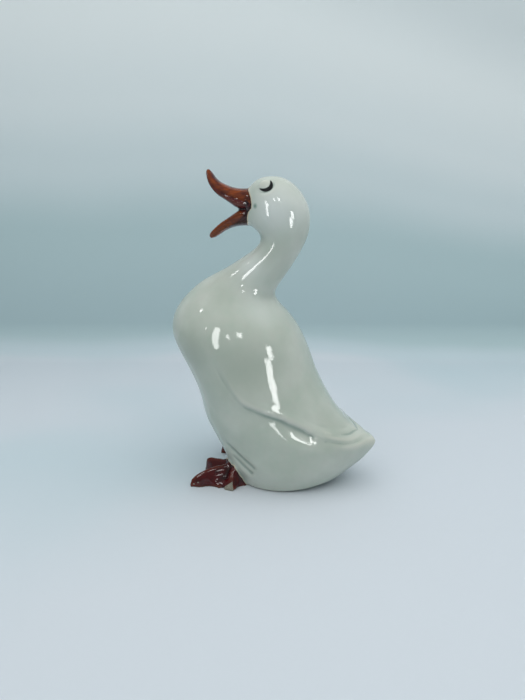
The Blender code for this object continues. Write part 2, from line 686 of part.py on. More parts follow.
def build():
    for old in list(bpy.data.objects):
        bpy.data.objects.remove(old)
    duck_parts = bpy.data.collections.new("duck")
    cutters = bpy.data.collections.new("cutters")
    bpy.context.scene.collection.children.link(duck_parts)
    bpy.context.scene.collection.children.link(cutters)

    duck = body_skin(NAME, WHITE, duck_parts)
    wing_edge, tier_edge = wing_edges()
    wing = feather_layer("wing", wing_edge, WING_RISE, WING_FADE, 0.50, 0.30, cutters)
    tier = feather_layer("tier", tier_edge, TIER_RISE, TIER_FADE, 0.60, 0.60, cutters)
    added = [wing, tier, *eye_lids(duck, cutters), upper_beak(cutters), lower_beak(cutters)]
    added += [foot("left", 1, True, cutters), foot("right", -1, False, cutters)]
    cut = [rim_crease(wing_edge, cutters), *thigh_creases(cutters), lash(cutters)]
    cut += [ground(cutters), hollow(cutters), vent(cutters)]
    for piece in added:
        combine(duck, piece, "UNION")
    for piece in cut:
        combine(duck, piece, "DIFFERENCE")

    corners = [Vector(corner) for corner in duck.bound_box]
    middle = (min(corner.y for corner in corners) + max(corner.y for corner in corners)) / 2
    rest = bpy.data.objects.new("rest", None)
    rest.location = (0.0, -middle, 0.0)
    duck_parts.objects.link(rest)
    for thing in [*duck_parts.objects, *cutters.objects]:
        if thing is not rest:
            thing.parent = rest


build()
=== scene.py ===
"""A singing duck in slip-cast earthenware, glazed white, with a brown beak and brown feet."""

import math

import bpy
import numpy as np
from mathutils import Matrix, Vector


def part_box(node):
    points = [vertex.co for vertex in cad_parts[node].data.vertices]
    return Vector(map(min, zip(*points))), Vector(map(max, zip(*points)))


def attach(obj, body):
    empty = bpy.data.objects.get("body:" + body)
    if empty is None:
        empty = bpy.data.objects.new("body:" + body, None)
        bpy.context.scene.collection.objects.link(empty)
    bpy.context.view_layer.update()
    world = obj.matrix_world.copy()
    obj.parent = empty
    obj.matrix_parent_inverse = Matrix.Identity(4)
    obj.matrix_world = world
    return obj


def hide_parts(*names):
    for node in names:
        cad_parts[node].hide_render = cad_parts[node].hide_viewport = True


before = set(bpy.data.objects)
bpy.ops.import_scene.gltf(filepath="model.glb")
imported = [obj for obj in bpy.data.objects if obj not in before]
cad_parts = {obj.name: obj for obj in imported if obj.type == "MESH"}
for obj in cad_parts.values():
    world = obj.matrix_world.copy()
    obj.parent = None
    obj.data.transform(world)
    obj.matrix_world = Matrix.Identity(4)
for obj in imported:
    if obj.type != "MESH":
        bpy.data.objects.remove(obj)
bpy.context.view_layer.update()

# Camera: a phone's main lens, some 40 cm from the duck's left side and a little behind it, held
# about level with the throat and tipped down at the belly.
CAMERA_PLACE = (0.3825, 0.1077, 0.200)
CAMERA_AIM = (-0.9279, -0.2837, -0.2419)
LENS = 27.05

lens = bpy.data.cameras.new("camera")
lens.lens = LENS
lens.sensor_width = 36.0
lens.clip_start = 0.01
lens.clip_end = 20.0
camera = bpy.data.objects.new("camera", lens)
camera.location = CAMERA_PLACE
camera.rotation_euler = Vector(CAMERA_AIM).to_track_quat("-Z", "Y").to_euler()
bpy.context.scene.collection.objects.link(camera)
bpy.context.scene.camera = camera

# The cast body. One hollow casting in white earthenware: body, neck, head, beak, wings and feet
# left the plaster mould together, and the damp clay was sponged smooth before it was fired, so
# the skin flows without a flat anywhere and every edge is softened.
SKIN_STEP = 0.00106
SPONGE_ROUNDS = 42
SPONGE_PULL = 0.70
WELD_GAP = 0.000002
VENT_REACH = 0.0062
VENT_MIDDLE = -0.0100
CUTTER_DROP = 0.0010

low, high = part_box("duck_figurine")
base_level = low[2] + 0.00001


def only(thing):
    """Make a piece the only one selected and active."""
    bpy.ops.object.select_all(action="DESELECT")
    thing.select_set(True)
    bpy.context.view_layer.objects.active = thing


def coordinates(thing):
    """A piece's points as an array."""
    flat = np.empty(len(thing.data.vertices) * 3)
    thing.data.vertices.foreach_get("co", flat)
    return flat.reshape(-1, 3)


def place_points(thing, points):
    """Move a piece's points to those places."""
    thing.data.vertices.foreach_set("co", points.ravel())
    thing.data.update()


def soft_step(value, start, end):
    """0 before start, 1 after end, and a soft rise between."""
    share = np.clip((value - start) / (end - start), 0.0, 1.0)
    return share * share * (3 - 2 * share)


def neighbour_mean(edges, counts, values):
    """Each point's neighbours' mean of those values."""
    total = np.zeros_like(values)
    for axis in range(values.shape[1]):
        total[:, axis] += np.bincount(edges[:, 0], values[edges[:, 1], axis], len(values))
        total[:, axis] += np.bincount(edges[:, 1], values[edges[:, 0], axis], len(values))
    return total / counts


def links(thing):
    """A piece's edges as pairs of points, and how many of them each point has."""
    flat = np.empty(len(thing.data.edges) * 2, dtype=np.int64)
    thing.data.edges.foreach_get("vertices", flat)
    edges = flat.reshape(-1, 2)
    counts = np.bincount(flat, minlength=len(thing.data.vertices))
    return edges, np.maximum(counts, 1)[:, None]


def sponged(thing, pull, rounds):
    """A piece's points after rounds of smoothing that keeps its bulk.

    The smoothing is done a second time on what the first took away, and that is given back.
    """
    edges, counts = links(thing)
    start = coordinates(thing)
    smooth = start.copy()
    for _ in range(rounds):
        smooth += pull * (neighbour_mean(edges, counts, smooth) - smooth)
    lost = start - smooth
    for _ in range(rounds):
        lost += pull * (neighbour_mean(edges, counts, lost) - lost)
    return smooth + lost


casting = bpy.data.objects.new("glazed_duck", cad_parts["duck_figurine"].data.copy())
bpy.context.scene.collection.objects.link(casting)
only(casting)
bpy.ops.object.mode_set(mode="EDIT")
bpy.ops.mesh.select_all(action="SELECT")
bpy.ops.mesh.remove_doubles(threshold=WELD_GAP)
bpy.ops.mesh.select_all(action="DESELECT")
bpy.ops.object.mode_set(mode="OBJECT")

# The skin is parted from the hollow at the rim of the vent, so that each is worked by itself
points = coordinates(casting)
from_vent = np.hypot(points[:, 0], points[:, 1] - VENT_MIDDLE)
on_rim = (points[:, 2] < base_level) & (from_vent < VENT_REACH)
for edge in casting.data.edges:
    edge.select = bool(on_rim[edge.vertices[0]] and on_rim[edge.vertices[1]])
bpy.ops.object.mode_set(mode="EDIT")
bpy.ops.mesh.select_mode(type="EDGE")
bpy.ops.mesh.edge_split(type="EDGE")
bpy.ops.mesh.select_all(action="SELECT")
bpy.ops.mesh.separate(type="LOOSE")
bpy.ops.object.mode_set(mode="OBJECT")
parts = sorted(bpy.context.selected_objects, key=lambda part: part.dimensions.z)
hollow, casting = parts[0], parts[-1]
casting.name = "glazed_duck"
for part in (hollow, casting):
    only(part)
    bpy.ops.object.mode_set(mode="EDIT")
    bpy.ops.mesh.select_all(action="DESELECT")
    bpy.ops.mesh.select_non_manifold()
    bpy.ops.mesh.edge_face_add()
    bpy.ops.mesh.select_all(action="SELECT")
    bpy.ops.mesh.normals_make_consistent(inside=False)
    bpy.ops.object.mode_set(mode="OBJECT")
points = coordinates(hollow)
points[points[:, 2] < base_level, 2] -= CUTTER_DROP
place_points(hollow, points)

only(casting)
remesh = casting.modifiers.new("skin", "REMESH")
remesh.mode = "VOXEL"
remesh.voxel_size = SKIN_STEP
bpy.ops.object.modifier_apply(modifier=remesh.name)


def smooth_line(spots, steps=14):
    """A smooth line of close points through those spots, given in millimetres."""
    spots = np.array(spots) / 1000
    spots = np.vstack([2 * spots[0] - spots[1], spots, 2 * spots[-1] - spots[-2]])
    share = np.linspace(0, 1, steps, endpoint=False)[:, None]
    runs = []
    for before, start, end, after in zip(spots, spots[1:], spots[2:], spots[3:]):
        bend = 2 * before - 5 * start + 4 * end - after
        twist = 3 * start - before - 3 * end + after
        runs.append(start + share * (end - before) / 2 + share**2 * bend / 2 + share**3 * twist / 2)
    return np.vstack(runs + [spots[-2:-1]])


def across(points, facing, line, reach):
    """How far points lie above a line on the skin, and how far along it they are.

    Both sides of the duck share the line. Points past its reach are left at that distance.
    """
    side = np.where(points[:, :1] < 0, [-1.0, 1.0, 1.0], [1.0, 1.0, 1.0])
    points, facing = points * side, facing * side
    above = np.full(len(points), -reach)
    along = np.zeros(len(points))
    low, high = line.min(axis=0) - reach, line.max(axis=0) + reach
    near = np.flatnonzero(((points > low) & (points < high)).all(axis=1))
    gaps = points[near, None, :] - line[None, :, :]
    closest = np.einsum("ijk,ijk->ij", gaps, gaps).argmin(axis=1)
    gap = gaps[np.arange(len(near)), closest]
    course = np.gradient(line, axis=0)
    course /= np.linalg.norm(course, axis=1)[:, None]
    upward = np.cross(course[closest], facing[near])
    upward /= np.maximum(np.linalg.norm(upward, axis=1), 0.01)[:, None]
    size = np.linalg.norm(gap - (gap * course[closest]).sum(axis=1)[:, None] * course[closest], axis=1)
    sign = np.sign((gap * upward).sum(axis=1)) * np.sign(upward[:, 2] + 0.001)
    inside = np.linalg.norm(gap, axis=1) < reach
    above[near[inside]] = (sign * size)[inside]
    along[near[inside]] = (closest / (len(line) - 1))[inside]
    return above, along


def outward(thing):
    """The way that a piece's skin faces at each of its points."""
    flat = np.empty(len(thing.data.vertices) * 3)
    thing.data.vertex_normals.foreach_get("vector", flat)
    return flat.reshape(-1, 3)


def hump(value, middle, width):
    """A smooth hump, 1 high at its middle."""
    return np.exp(-((value - middle) / width) ** 2)


def edged(above, crest, groove):
    """The relief of an edge: a crest above its line and a groove beside it.

    Each is given as its height or depth, how far above the line it lies, and its width.
    """
    return crest[0] * hump(above, *crest[1:]) - groove[0] * hump(above, *groove[1:])


# The folded wings end in one long edge each, with a shorter feather's edge above it by the tail,
# and each thigh is marked by two short creases, cut in the model that the mould was taken from.
WING_EDGE = smooth_line([
    (45.1, -37.5, 108.2), (46.5, -30.7, 97.1), (47.3, -23.9, 86.8), (48.5, -11.5, 72.5),
    (46.7, 2.9, 66.1), (42.5, 16.5, 60.7), (37.0, 29.0, 53.6), (31.5, 40.7, 46.9),
    (27.1, 53.8, 41.1), (18.0, 66.2, 38.9), (1.9, 75.9, 39.7)])
FEATHER_EDGE = smooth_line([
    (31.9, 36.1, 51.7), (25.2, 48.7, 45.5), (14.1, 60.9, 43.4), (4.8, 65.3, 43.5)])
UPPER_CREASE = smooth_line([
    (37.0, -27.5, 37.5), (39.3, -22.5, 33.5), (41.1, -14.3, 27.3), (42.6, -5.2, 21.2),
    (42.9, -1.5, 18.2)])
LOWER_CREASE = smooth_line([
    (37.2, -22.2, 26.6), (39.0, -15.1, 21.3), (40.7, -6.6, 15.2), (40.6, -4.5, 13.5)])
WING_CREST = (0.00065, 0.0042, 0.0026)
WING_GROOVE = (0.00072, 0.0002, 0.0015)
WING_REACH = 0.016
FEATHER_CREST = (0.00039, 0.0032, 0.0022)
FEATHER_GROOVE = (0.000432, 0.0001, 0.0011)
FEATHER_REACH = 0.012
CREASE_DEPTH = 0.00140
CREASE_HALF = 0.0025
CREASE_REACH = 0.006
SHOULDER_PLACE = (0.026, 0.018, 0.112)
SHOULDER_RISE = 0.0014
SHOULDER_WIDTH = 0.020
EYE_PLACE = (0.0136, -0.00365, 0.2240)
LID_RADIUS = 0.0048
LID_RISE = 0.0009
UPPER_BEAK_CREASE = smooth_line([
    (4.8, -49.3, 230.2), (6.4, -47.3, 226.9), (7.7, -43.6, 223.3), (9.1, -38.0, 219.6),
    (10.4, -30.3, 216.1), (11.9, -22.5, 213.6), (12.9, -16.6, 212.0)])
LOWER_BEAK_CREASE = smooth_line([
    (10.7, -17.4, 205.9), (10.3, -20.9, 203.4), (9.1, -26.5, 200.2), (7.9, -32.8, 197.5),
    (6.4, -39.3, 193.8)])
BEAK_CREST = (0.00045, 0.0009, 0.0008)
BEAK_GROOVE = (0.00045, -0.0007, 0.0009)
BEAK_REACH = 0.008
CRESCENT = smooth_line([
    (13.9, -8.3, 221.4), (15.6, -5.2, 219.9), (16.1, -2.4, 219.5), (15.9, -0.3, 220.1),
    (15.0, 1.1, 221.2), (13.9, 1.5, 223.0), (12.6, 0.9, 225.2), (11.6, -0.1, 226.3)])
CRESCENT_REACH = 0.006
FOLD_DEPTH = 0.00110
FOLD_PLACE = 0.0066
FOLD_WIDTH = 0.0013

# How much of their crispness the finer places keep under the sponge
BEAK_KEEPS = 0.90
FEET_KEEP = 0.05
BASE_KEEPS = 0.95
WING_EDGE_KEEPS = 0.30
TOUCH_PULL = 0.5
TOUCH_ROUNDS = 3

points = coordinates(casting)
facing = outward(casting)
ahead, up = -points[:, 1], points[:, 2]
wing, wing_along = across(points, facing, WING_EDGE, WING_REACH)
beakness = soft_step(ahead, 0.014, 0.020) * soft_step(up, 0.180, 0.192)
footness = soft_step(ahead, 0.020, 0.030) * (1 - soft_step(up, 0.014, 0.026))
baseness = 1 - soft_step(up, 0.0012, 0.0045)
edge_near = (1 - soft_step(np.abs(wing), 0.002, 0.007)) * soft_step(wing_along, 0.02, 0.35)
gentle = 1 - BEAK_KEEPS * beakness
gentle = np.minimum(gentle, 1 - FEET_KEEP * footness)
gentle = np.minimum(gentle, 1 - BASE_KEEPS * baseness)
gentle = np.minimum(gentle, 1 - WING_EDGE_KEEPS * edge_near)
place_points(casting, sponged(casting, SPONGE_PULL * gentle[:, None], SPONGE_ROUNDS))

points = coordinates(casting)
facing = outward(casting)
above, along = across(points, facing, WING_EDGE, WING_REACH)
strength = 0.42 * soft_step(along, 0.0, 0.2) + 0.58 * soft_step(along, 0.22, 0.50)
strength *= 1 - 0.6 * soft_step(along, 0.93, 1.0)
rise = strength * edged(above, WING_CREST, WING_GROOVE)
above, along = across(points, facing, FEATHER_EDGE, FEATHER_REACH)
rise += soft_step(along, 0.0, 0.35) * edged(above, FEATHER_CREST, FEATHER_GROOVE)
for crease in (UPPER_CREASE, LOWER_CREASE):
    above, along = across(points, facing, crease, CREASE_REACH)
    strength = np.sin(np.pi * np.clip(along, 0, 1)) ** 0.5
    rise -= CREASE_DEPTH * strength * hump(above, 0.0, CREASE_HALF)
above, along = across(points, facing, UPPER_BEAK_CREASE, BEAK_REACH)
rise += soft_step(along, 0.0, 0.15) * edged(above, BEAK_CREST, BEAK_GROOVE)
above, along = across(points, facing, LOWER_BEAK_CREASE, BEAK_REACH)
rise += (1 - soft_step(along, 0.6, 1.0)) * edged(above, BEAK_CREST, BEAK_GROOVE)
both_sides = points.copy()
both_sides[:, 0] = np.abs(points[:, 0])
from_shoulder = np.linalg.norm(both_sides - SHOULDER_PLACE, axis=1)
rise += SHOULDER_RISE * hump(from_shoulder, 0.0, SHOULDER_WIDTH)
from_eye = np.linalg.norm(both_sides - EYE_PLACE, axis=1)
along = across(points, facing, CRESCENT, CRESCENT_REACH)[1]
rise -= FOLD_DEPTH * np.sin(np.pi * along) * hump(from_eye, FOLD_PLACE, FOLD_WIDTH)
rise += LID_RISE * np.clip(1 - (from_eye / LID_RADIUS) ** 2, 0, 1) ** 1.5
place_points(casting, points + facing * rise[:, None])
worked = soft_step(np.abs(rise), 0.00005, 0.0002) * (up > 0.005)
points = sponged(casting, TOUCH_PULL * worked[:, None], TOUCH_ROUNDS)
points[:, 2] = np.maximum(points[:, 2], 0.0)
place_points(casting, points)
casting.data.shade_smooth()

# The vent, a hole the thickness of a finger through the base, and the hollow that the slip left
only(casting)
cut = casting.modifiers.new("hollow", "BOOLEAN")
cut.operation = "DIFFERENCE"
cut.solver = "EXACT"
cut.object = hollow
bpy.ops.object.modifier_apply(modifier=cut.name)
bpy.data.objects.remove(hollow)


def srgb(code):
    """A colour written as sRGB hex, made linear."""
    shares = [int(code[i:i + 2], 16) / 255 for i in (0, 2, 4)]
    return [s / 12.92 if s <= 0.04045 else ((s + 0.055) / 1.055) ** 2.4 for s in shares] + [1.0]


def node(tree, kind, settings=None, **links):
    """Add a node with its settings, and its inputs as values or as sockets to link."""
    made = tree.nodes.new(kind)
    for key, value in (settings or {}).items():
        setattr(made, key, value)
    for key, value in links.items():
        numbered = key[0] == "i" and key[1:].isdigit()
        socket = made.inputs[int(key[1:]) if numbered else key.replace("_", " ")]
        if isinstance(value, bpy.types.NodeSocket):
            tree.links.new(value, socket)
        else:
            socket.default_value = value
    return made


def keep_field(thing, name, values):
    """Keep a number for each point of a piece, for its material to read."""
    field = thing.data.attributes.new(name, "FLOAT", "POINT")
    field.data.foreach_set("value", values.astype(np.float32))


# Where the brushes went, as millimetres inside each painted place. The brown of the beak ends on
# the cheek in one brushed line, that of the feet where they meet the belly, and the closed eye is
# a black crescent in the fold under the lid.
BEAK_EDGE_UP = [0.1951, 0.1994, 0.2030, 0.2050, 0.2074, 0.2108, 0.2153, 0.2186, 0.2222]
BEAK_EDGE_AHEAD = [0.0194, 0.0176, 0.0170, 0.0162, 0.0134, 0.0131, 0.0142, 0.0162, 0.0186]
BEAK_PAINT_LOW = 0.178
FOOT_MIDDLE = (0.0270, -0.0231, 0.0099)
FOOT_OUT = (0.594, -0.635, -0.494)
FOOT_ALONG = (0.730, 0.683, 0.0)
FOOT_UP = (0.338, -0.361, 0.869)
ARCH_BACK = 0.0080
ARCH_TOP = 0.0078
ARCH_FRONT = 0.0094
ARCH_LEAN = 0.2
ARCH_INSET = 0.0008
TOE_PROUD = 0.0012
FOOT_PAINT_TOP = 0.026
CRESCENT_HALF = 0.00145
CHIP_MIDDLE = (0.0430, -0.0224, 0.0058)
CHIP_OUT = (0.920, -0.113, 0.375)
CHIP_DEPTH = 0.0010
CHIP_RADIUS = 0.009
CHIP_TOP = 0.0074
CHIP_TOP_SLOPE = 0.78
CHIP_TOP_START = -0.0195
CHIP_FRONT = -0.0275
TOE_NICKS = [(0.0473, -0.0499, 0.0027), (0.0464, -0.0467, 0.0040)]
NICK_RADIUS = 0.0008
WIPED_HEIGHT = 0.0004
SHADE_REACH = 0.0090
SHADE_EDGE = 0.0089
JAW_SHADE_DOWN = 0.0006
JAW_SHADE_LEAN = 0.006
SWELL_ROUNDS = 9

points = coordinates(casting)
facing = outward(casting)
mirrored = points.copy()
mirrored[:, 0] = np.abs(points[:, 0])
ahead, up = -points[:, 1], points[:, 2]

beak = ahead - np.interp(up, BEAK_EDGE_UP, BEAK_EDGE_AHEAD)
beak = np.minimum(beak, up - BEAK_PAINT_LOW)
keep_field(casting, "beak_paint", beak * 1000)

from_foot = mirrored - FOOT_MIDDLE
out, along, rise = from_foot @ FOOT_OUT, from_foot @ FOOT_ALONG, from_foot @ FOOT_UP
arch = np.minimum(along + ARCH_BACK, ARCH_TOP - rise)
arch = np.minimum(arch, ARCH_FRONT - ARCH_LEAN * rise - along)
foot = np.maximum(np.minimum(arch, out + ARCH_INSET), 2 * (out - TOE_PROUD))
foot = np.minimum(foot, FOOT_PAINT_TOP - up)
keep_field(casting, "foot_paint", foot * 1000)

crescent, along = across(points, facing, CRESCENT, CRESCENT_REACH)
half = CRESCENT_HALF * np.sin(np.pi * np.clip(along, 0.0, 1.0)) ** 0.8
keep_field(casting, "eye_paint", (half - np.abs(crescent)) * 1000)

# The outer toe of the left foot is broken off short and shows the bare cream body, and so does
# the foot of the casting, which was wiped clean of glaze to stand in the kiln.
from_chip = points - CHIP_MIDDLE
chip = np.minimum(from_chip @ CHIP_OUT + CHIP_DEPTH, CHIP_RADIUS - np.linalg.norm(from_chip, axis=1))
chip = np.minimum(chip, CHIP_TOP + CHIP_TOP_SLOPE * (points[:, 1] - CHIP_TOP_START) - up)
chip = np.minimum(chip, points[:, 1] - CHIP_FRONT)
for nick in TOE_NICKS:
    chip = np.maximum(chip, NICK_RADIUS - np.linalg.norm(points - nick, axis=1))
wiped = WIPED_HEIGHT - up
keep_field(casting, "bare", np.maximum(chip, wiped) * 1000)

# How far below the crease of each half of the beak its paint lies: a painted reflection of the floor
# under the upper crease, and painted shade under the lower
lip_reflection = across(points, facing, UPPER_BEAK_CREASE, SHADE_REACH)[0]
lip_reflection = np.where(lip_reflection > -SHADE_EDGE, -lip_reflection, -SHADE_REACH)
keep_field(casting, "lip_painted_reflection", lip_reflection * 1000)
jaw_shade, along = across(points, facing, LOWER_BEAK_CREASE, SHADE_REACH)
jaw_shade = np.where(jaw_shade > -SHADE_EDGE, -jaw_shade - JAW_SHADE_DOWN - JAW_SHADE_LEAN * along, -SHADE_REACH)
keep_field(casting, "jaw_painted_shade", jaw_shade * 1000)

# How far the skin stands out from the run of the form: above 0 on an edge, below 0 in a fold
edges, counts = links(casting)
smooth = points.copy()
for _ in range(SWELL_ROUNDS):
    smooth = neighbour_mean(edges, counts, smooth)
keep_field(casting, "swell", ((points - smooth) * facing).sum(axis=1) * 1000)

# Painted light and shade in the white's colour: paler, as painted light, on the head and down the
# throat, and greyer, as painted shade, on the wings, the side of the breast and the tail: where, how far
# round, and how much.
PAINTED_LIGHT_PLACES = [
    ((17, 4, 208), 17, 1.0), ((6, 23, 206), 12, 0.5), ((13, -14, 167), 11, 0.7),
    ((24, -2, 136), 17, 0.55)]
PAINTED_SHADE_PLACES = [((43, -4, 98), 25, 0.9), ((40, -50, 104), 16, 0.8), ((22, 56, 50), 15, 0.7)]
pale, grey = [
    sum(much * hump(np.linalg.norm(mirrored - np.array(middle) / 1000, axis=1), 0.0, reach / 1000)
        for middle, reach, much in places)
    for places in (PAINTED_LIGHT_PLACES, PAINTED_SHADE_PLACES)]
keep_field(casting, "painted_light_and_shade", grey - pale)

# Glazed earthenware. The white glaze is thick, soft and glossy like wet paint: a little green
# where it pools in a fold, thinner and warmer over an edge. The brown glaze is a strong iron
# brown under the same gloss: near black where it is thick, rusty orange where it breaks over an
# edge. The black of the eyes is a painted, dull stroke. The bare body is a dry, cream, chalky biscuit.
glaze = bpy.data.materials.new("glazed_earthenware")
glaze.use_nodes = True
tree = glaze.node_tree
shader = tree.nodes["Principled BSDF"]
place = node(tree, "ShaderNodeTexCoord").outputs["Object"]
beak = node(tree, "ShaderNodeAttribute", {"attribute_name": "beak_paint"}).outputs["Fac"]
foot = node(tree, "ShaderNodeAttribute", {"attribute_name": "foot_paint"}).outputs["Fac"]
eye = node(tree, "ShaderNodeAttribute", {"attribute_name": "eye_paint"}).outputs["Fac"]
bare = node(tree, "ShaderNodeAttribute", {"attribute_name": "bare"}).outputs["Fac"]
swell = node(tree, "ShaderNodeAttribute", {"attribute_name": "swell"}).outputs["Fac"]

# White: clouds of 30 mm, mottling of 6 mm, green in the folds
clouds = node(tree, "ShaderNodeTexNoise", Vector=place, Scale=33.0, Detail=3.0, Roughness=0.5)
white = node(tree, "ShaderNodeValToRGB", Fac=clouds.outputs["Fac"])
white.color_ramp.elements[0].position = 0.36
white.color_ramp.elements[0].color = srgb("BBC5B9")
white.color_ramp.elements[1].position = 0.64
white.color_ramp.elements[1].color = srgb("CDD2C9")
mottle = node(tree, "ShaderNodeTexNoise", Vector=place, Scale=165.0, Detail=2.0, Roughness=0.5)
mottled = node(tree, "ShaderNodeMapRange", Value=mottle.outputs["Fac"], From_Min=0.3, From_Max=0.7,
               To_Min=0.0, To_Max=0.35)
white = node(tree, "ShaderNodeMix", {"data_type": "RGBA"}, i0=mottled.outputs[0],
             i6=white.outputs["Color"], i7=srgb("C6C7BF"))
# Painted light on the head and throat, and painted shade on the wings, the breast's side and the tail
light_and_shade = node(tree, "ShaderNodeAttribute", {"attribute_name": "painted_light_and_shade"}).outputs["Fac"]
painted_light_mix = node(tree, "ShaderNodeMapRange", Value=light_and_shade, From_Min=0.0, From_Max=-1.0, To_Min=0.0, To_Max=0.9)
white = node(tree, "ShaderNodeMix", {"data_type": "RGBA"}, i0=painted_light_mix.outputs[0],
             i6=white.outputs[2], i7=srgb("E6EAE7"))
painted_shade_mix = node(tree, "ShaderNodeMapRange", Value=light_and_shade, From_Min=0.0, From_Max=1.0, To_Min=0.0, To_Max=0.9)
white = node(tree, "ShaderNodeMix", {"data_type": "RGBA"}, i0=painted_shade_mix.outputs[0],
             i6=white.outputs[2], i7=srgb("ADB5AA"))
fold = node(tree, "ShaderNodeMapRange", {"interpolation_type": "SMOOTHSTEP"}, Value=swell,
            From_Min=-0.02, From_Max=-0.30, To_Min=0.0, To_Max=0.75)
white = node(tree, "ShaderNodeMix", {"data_type": "RGBA"}, i0=fold.outputs[0],
             i6=white.outputs[2], i7=srgb("93A299"))
crest = node(tree, "ShaderNodeMapRange", {"interpolation_type": "SMOOTHSTEP"}, Value=swell,
             From_Min=0.10, From_Max=0.45, To_Min=0.0, To_Max=0.5)
white = node(tree, "ShaderNodeMix", {"data_type": "RGBA"}, i0=crest.outputs[0],
             i6=white.outputs[2], i7=srgb("DEDCD2"))

# A green smudge of the brush's copper on the cheek, behind the corner of the beak
smudge = node(tree, "ShaderNodeVectorMath", {"operation": "DISTANCE"}, i0=place,
              i1=(0.0165, -0.0098, 0.2088))
smudge = node(tree, "ShaderNodeMapRange", {"interpolation_type": "SMOOTHSTEP"},
              Value=smudge.outputs["Value"], From_Min=0.0028, From_Max=0.0, To_Min=0.0, To_Max=0.8)
white = node(tree, "ShaderNodeMix", {"data_type": "RGBA"}, i0=smudge.outputs[0],
             i6=white.outputs[2], i7=srgb("5F8578"))

# Brown: streaks of 3 mm along the brush, dark pools of 7 mm, rust where it breaks
drawn = node(tree, "ShaderNodeMapping", Vector=place, Scale=(1.0, 0.35, 1.0))
streaks = node(tree, "ShaderNodeTexNoise", Vector=drawn.outputs[0], Scale=330.0, Detail=3.0,
               Roughness=0.6)
brown = node(tree, "ShaderNodeValToRGB", Fac=streaks.outputs["Fac"])
brown.color_ramp.elements[0].position = 0.35
brown.color_ramp.elements[0].color = srgb("5E2209")
brown.color_ramp.elements[1].position = 0.68
brown.color_ramp.elements[1].color = srgb("8C4010")
on_foot = node(tree, "ShaderNodeMapRange", Value=foot, From_Min=-1.0, From_Max=0.0)
brown = node(tree, "ShaderNodeMix", {"data_type": "RGBA"}, i0=on_foot.outputs[0],
             i6=brown.outputs["Color"], i7=srgb("4E0A10"))
# Painted reflection: a purple band along the underside of the upper beak. Painted shade: dark under the
# lower beak
below = node(tree, "ShaderNodeAttribute", {"attribute_name": "lip_painted_reflection"}).outputs["Fac"]
on_lip_reflection = node(tree, "ShaderNodeMapRange", {"interpolation_type": "SMOOTHSTEP"}, Value=below,
              From_Min=-0.2, From_Max=0.9, To_Min=0.0, To_Max=0.85)
brown = node(tree, "ShaderNodeMix", {"data_type": "RGBA"}, i0=on_lip_reflection.outputs[0],
             i6=brown.outputs[2], i7=srgb("54222A"))
below = node(tree, "ShaderNodeAttribute", {"attribute_name": "jaw_painted_shade"}).outputs["Fac"]
on_jaw_shade = node(tree, "ShaderNodeMapRange", {"interpolation_type": "SMOOTHSTEP"}, Value=below,
              From_Min=-3.2, From_Max=-0.4, To_Min=0.0, To_Max=0.9)
brown = node(tree, "ShaderNodeMix", {"data_type": "RGBA"}, i0=on_jaw_shade.outputs[0],
             i6=brown.outputs[2], i7=srgb("2A0A12"))
# Painted shade: a dark spot in the recess at the corner of the mouth
mouth_corner_shade = node(tree, "ShaderNodeVectorMath", {"operation": "DISTANCE"}, i0=place,
           i1=(0.0128, -0.0176, 0.2109))
mouth_corner_shade = node(tree, "ShaderNodeMapRange", {"interpolation_type": "SMOOTHSTEP"}, Value=mouth_corner_shade.outputs["Value"],
           From_Min=0.0030, From_Max=0.0008, To_Min=0.0, To_Max=0.9)
brown = node(tree, "ShaderNodeMix", {"data_type": "RGBA"}, i0=mouth_corner_shade.outputs[0],
             i6=brown.outputs[2], i7=srgb("1C0A0C"))
pools = node(tree, "ShaderNodeTexNoise", Vector=place, Scale=140.0, Detail=2.0, Roughness=0.5)
pooled = node(tree, "ShaderNodeMapRange", {"interpolation_type": "SMOOTHSTEP"},
              Value=pools.outputs["Fac"], From_Min=0.48, From_Max=0.66, To_Min=0.0, To_Max=0.6)
brown = node(tree, "ShaderNodeMix", {"data_type": "RGBA"}, i0=pooled.outputs[0],
             i6=brown.outputs[2], i7=srgb("2C0F14"))
broken = node(tree, "ShaderNodeMapRange", {"interpolation_type": "SMOOTHSTEP"}, Value=swell,
              From_Min=0.12, From_Max=0.60, To_Min=0.0, To_Max=0.35)
brown = node(tree, "ShaderNodeMix", {"data_type": "RGBA"}, i0=broken.outputs[0],
             i6=brown.outputs[2], i7=srgb("7E3F22"))
thick = node(tree, "ShaderNodeMapRange", {"interpolation_type": "SMOOTHSTEP"}, Value=swell,
             From_Min=-0.05, From_Max=-0.35, To_Min=0.0, To_Max=0.8)
brown = node(tree, "ShaderNodeMix", {"data_type": "RGBA"}, i0=thick.outputs[0],
             i6=brown.outputs[2], i7=srgb("1E0C10"))

# The brush's edge wavers by half a millimetre, and the brown thins to cream in its last half
waver = node(tree, "ShaderNodeTexNoise", Vector=place, Scale=260.0, Detail=2.0, Roughness=0.5)
waver = node(tree, "ShaderNodeMapRange", Value=waver.outputs["Fac"], From_Min=0.2, From_Max=0.8,
             To_Min=-0.5, To_Max=0.5)
painted = node(tree, "ShaderNodeMath", {"operation": "MAXIMUM"}, i0=beak, i1=foot)
painted = node(tree, "ShaderNodeMath", {"operation": "ADD"}, i0=painted.outputs[0], i1=waver.outputs[0])
fringe = node(tree, "ShaderNodeMapRange", {"interpolation_type": "SMOOTHSTEP"},
              Value=painted.outputs[0], From_Min=-1.2, From_Max=-0.3, To_Min=0.0, To_Max=0.75)
colour = node(tree, "ShaderNodeMix", {"data_type": "RGBA"}, i0=fringe.outputs[0],
              i6=white.outputs[2], i7=srgb("D9C2A4"))
rim = node(tree, "ShaderNodeMapRange", {"interpolation_type": "SMOOTHSTEP"},
           Value=painted.outputs[0], From_Min=1.3, From_Max=0.5, To_Min=0.0, To_Max=0.7)
